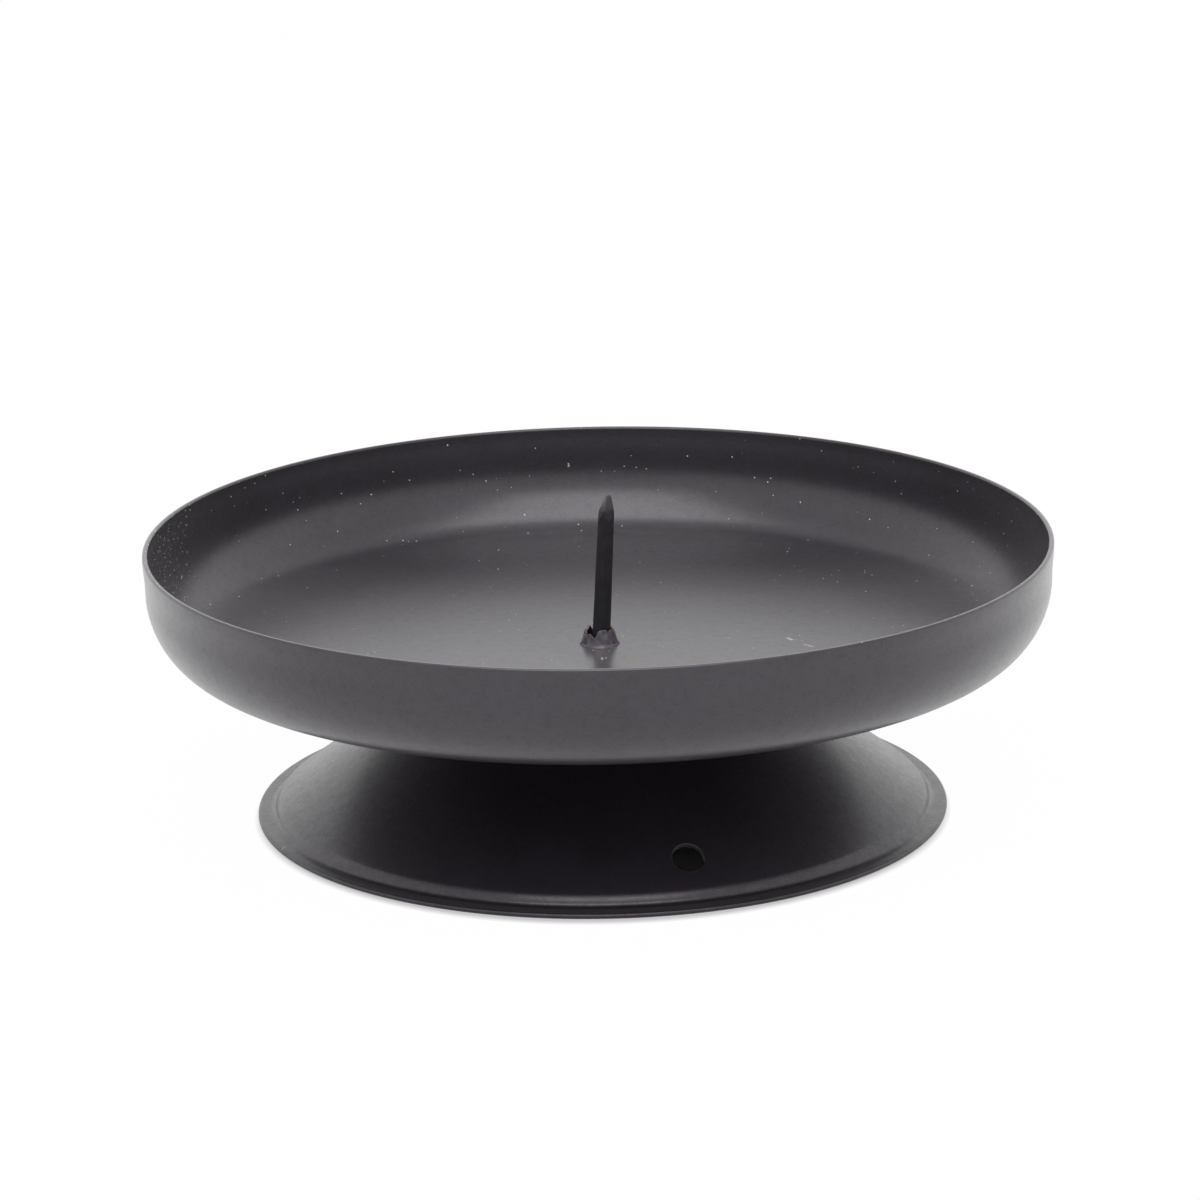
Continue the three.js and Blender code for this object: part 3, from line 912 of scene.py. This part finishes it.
class CANDLEPLATE_OT_set_stage(Operator):
    """Set the table, the soft light and the camera"""
    bl_idname = "candle_plate.set_stage"
    bl_label = "Set stage"

    # Shares of full white that show in gloss: straight overhead, near the viewer, under the dish,
    # where the lower share is painted shade of the dish
    overhead = 0.5
    near_viewer = 0.8
    painted_dish_shade = 0.55

    # How white the table is past the foot's edge: all round, and away from the shade in front
    past_edge = 0.35
    past_shade = 0.64

    # Clear shares of the table inside the foot, for the light and for the camera
    clear_for_light = 0.06
    clear_for_camera = 0.0005

    def execute(self, context):
        settings = context.scene.candle_stage
        scene = context.scene
        scene.view_settings.view_transform = "Standard"
        self.lay_table(scene, settings)
        self.light_sky(scene, settings)
        self.hang_softbox(scene, settings)
        self.place_camera(scene, settings)
        return {"FINISHED"}

    def seen_rays(self, tree, in_gloss=1.0):
        """1 for rays from the camera and those that show in glass, and a share of it in gloss."""
        path = add_node(tree, "ShaderNodeLightPath").outputs
        gloss = maths(tree, "MULTIPLY", path["Is Glossy Ray"], in_gloss)
        shown = maths(tree, "MAXIMUM", path["Is Camera Ray"], gloss)
        return maths(tree, "MAXIMUM", shown, path["Is Transmission Ray"])

    def lay_table(self, scene, settings):
        """A wide white table top. It is clear from below, and lets a little light into the foot."""
        bm = bmesh.new()
        bmesh.ops.create_grid(bm, x_segments=1, y_segments=1, size=settings.table)
        mesh = bpy.data.meshes.new("table_top")
        bm.to_mesh(mesh)
        bm.free()
        table = bpy.data.objects.new("table_top", mesh)
        scene.collection.objects.link(table)
        material = bpy.data.materials.new("white table")
        material.use_nodes = True
        material.cycles.emission_sampling = "NONE"
        mesh.materials.append(material)
        tree = material.node_tree
        tree.nodes.clear()
        white = (settings.table_white,) * 3
        matt = add_node(tree, "ShaderNodeBsdfDiffuse", {"Color": (*white, 1)})
        glow = add_node(tree, "ShaderNodeEmission", {"Color": (1, 1, 1, 1), "Strength": 1.0})
        place = add_node(tree, "ShaderNodeTexCoord").outputs["Object"]
        from_foot = vectors(tree, "LENGTH", place, output="Value")
        from_front = vectors(
            tree, "LENGTH", vectors(tree, "ADD", place, (0, 1.6 * MM, 0)), output="Value")
        foot = FOOT_HIGH.x
        edge = ranged(tree, from_foot, foot - 1 * MM, foot, 0.0, self.past_edge)
        shade = ranged(tree, from_front, foot - 1 * MM, foot + 0.5 * MM, 0.0, self.past_shade)
        open_table = maths(tree, "ADD", edge, shade)
        dish = DISH_HIGH.x
        towards = add_node(tree, "ShaderNodeSeparateXYZ", {0: place}).outputs["Y"]
        # Under the dish the table shows less white in gloss: painted shade of the dish, seen in its
        # reflections
        in_gloss = maths(
            tree, "MULTIPLY", ranged(tree, from_foot, dish, 2 * dish, self.painted_dish_shade, 1.0),
            ranged(tree, towards, -2.5 * dish, -dish, self.near_viewer, 1.0))
        share_lit = maths(tree, "MULTIPLY", self.seen_rays(tree, in_gloss), open_table)
        lit = add_node(
            tree, "ShaderNodeMixShader", {0: share_lit, 1: matt.outputs[0], 2: glow.outputs[0]})
        clear = add_node(tree, "ShaderNodeBsdfTransparent")
        below = add_node(tree, "ShaderNodeNewGeometry").outputs["Backfacing"]
        looked_at = add_node(tree, "ShaderNodeLightPath").outputs["Is Camera Ray"]
        let_in = maths(
            tree, "MULTIPLY",
            ranged(tree, looked_at, 0.0, 1.0, self.clear_for_light, self.clear_for_camera),
            ranged(tree, from_foot, foot - 3 * MM, foot - 2 * MM, 1.0, 0.0))
        both = add_node(tree, "ShaderNodeMixShader", {
            0: maths(tree, "MAXIMUM", below, let_in), 1: lit.outputs[0], 2: clear.outputs[0]})
        add_node(tree, "ShaderNodeOutputMaterial", {"Surface": both.outputs[0]})

    def light_sky(self, scene, settings):
        """White surroundings: plain light, white where they are seen, dimmer overhead in gloss."""
        world = bpy.data.worlds.new("white surroundings")
        world.use_nodes = True
        world.cycles.sampling_method = "NONE"
        scene.world = world
        tree = world.node_tree
        tree.nodes.clear()
        way = add_node(tree, "ShaderNodeTexCoord").outputs["Generated"]
        height = add_node(tree, "ShaderNodeSeparateXYZ", {0: way}).outputs["Z"]
        in_gloss = ranged(tree, height, 0.45, 0.85, 1.0, self.overhead)
        strength = ranged(tree, self.seen_rays(tree, in_gloss), 0.0, 1.0, settings.sky, 1.0)
        sky = add_node(
            tree, "ShaderNodeBackground", {"Color": (1, 1, 1, 1), "Strength": strength})
        add_node(tree, "ShaderNodeOutputWorld", {"Surface": sky.outputs[0]})

    def hang_softbox(self, scene, settings):
        """A soft light over the front of the plate."""
        lamp = bpy.data.lights.new("softbox", "AREA")
        lamp.shape = "RECTANGLE"
        lamp.size = settings.softbox_width
        lamp.size_y = settings.softbox_depth
        lamp.energy = settings.softbox
        holder = bpy.data.objects.new("softbox", lamp)
        scene.collection.objects.link(holder)
        height = settings.softbox_height
        way = Vector((0, -math.cos(height), math.sin(height)))
        holder.location = settings.softbox_distance * way
        holder.rotation_euler = way.to_track_quat("Z", "Y").to_euler()

    def place_camera(self, scene, settings):
        """The camera at the photograph's viewing angle."""
        pitch, roll = settings.pitch, settings.roll
        ahead = Vector((0, math.cos(pitch), -math.sin(pitch)))
        level = Vector((1, 0, 0))
        above = Vector((0, math.sin(pitch), math.cos(pitch)))
        right = level * math.cos(roll) + above * math.sin(roll)
        up = above * math.cos(roll) - level * math.sin(roll)
        data = bpy.data.cameras.new("camera")
        data.lens = settings.lens
        data.sensor_width = 36
        data.clip_start = 0.01
        data.clip_end = 50
        camera = bpy.data.objects.new("camera", data)
        scene.collection.objects.link(camera)
        camera.rotation_euler = Matrix((right, up, -ahead)).transposed().to_euler()
        middle = settings.rise * up - settings.side * right
        camera.location = middle - settings.distance * ahead
        scene.camera = camera


OPERATORS = [
    CANDLEPLATE_OT_press_dish,
    CANDLEPLATE_OT_press_foot,
    CANDLEPLATE_OT_tear_claws,
    CANDLEPLATE_OT_drive_spike,
    CANDLEPLATE_OT_set_stage,
]


class CANDLEPLATE_PT_sidebar(Panel):
    """Lists the plate's pieces, sizes and finishes"""
    bl_label = "Candle Plate"
    bl_idname = "CANDLEPLATE_PT_sidebar"
    bl_space_type = "VIEW_3D"
    bl_region_type = "UI"
    bl_category = "Candle Plate"

    def draw(self, context):
        for operator in OPERATORS:
            self.layout.operator(operator.bl_idname)
        for name, group in GROUPS.items():
            box = self.layout.box()
            box.label(text=group.__name__)
            for prop in group.__annotations__:
                box.prop(getattr(context.scene, name), prop)


def register():
    for item in (*GROUPS.values(), *OPERATORS, CANDLEPLATE_PT_sidebar):
        bpy.utils.register_class(item)
    for name, group in GROUPS.items():
        setattr(bpy.types.Scene, name, PointerProperty(type=group))


def unregister():
    for name in GROUPS:
        delattr(bpy.types.Scene, name)
    for item in (CANDLEPLATE_PT_sidebar, *reversed(OPERATORS), *reversed(GROUPS.values())):
        bpy.utils.unregister_class(item)


def main():
    """Builds the plate and its stage."""
    register()
    bpy.ops.candle_plate.press_dish()
    bpy.ops.candle_plate.press_foot()
    bpy.ops.candle_plate.tear_claws()
    bpy.ops.candle_plate.drive_spike()
    bpy.ops.candle_plate.set_stage()


if __name__ == "__main__":
    main()
